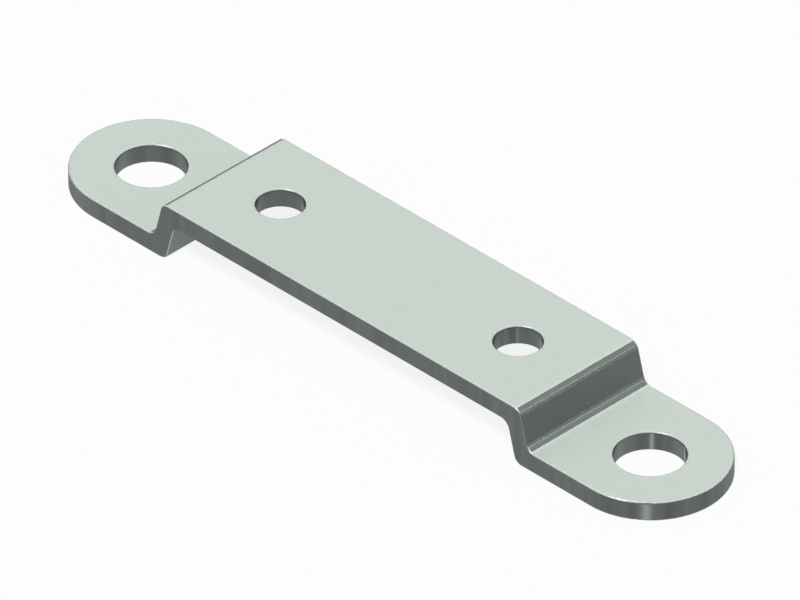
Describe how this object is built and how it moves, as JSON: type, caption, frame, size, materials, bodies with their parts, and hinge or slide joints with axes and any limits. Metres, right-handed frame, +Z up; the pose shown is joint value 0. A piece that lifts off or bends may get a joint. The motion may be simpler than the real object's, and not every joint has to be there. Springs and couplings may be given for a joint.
{
  "type": "stamped metal bracket",
  "caption": "Flat steel strip with full-round ends, joggled up into a raised centre plate between two bolt-down feet, pierced along its centre line.",
  "frame": {"origin": "midway between the two feet, on the plane that their undersides rest on", "axes": "+X along the strip through the holes, +Y across the strip, +Z up from the feet to the raised plate"},
  "size_m": [0.078, 0.015, 0.006],
  "materials": {
    "steel_sheet": "satin mill-rolled sheet, sheared sides darker"
  },
  "bodies": {
    "root": {"hat_bracket": "steel_sheet"}
  },
  "joints": []
}
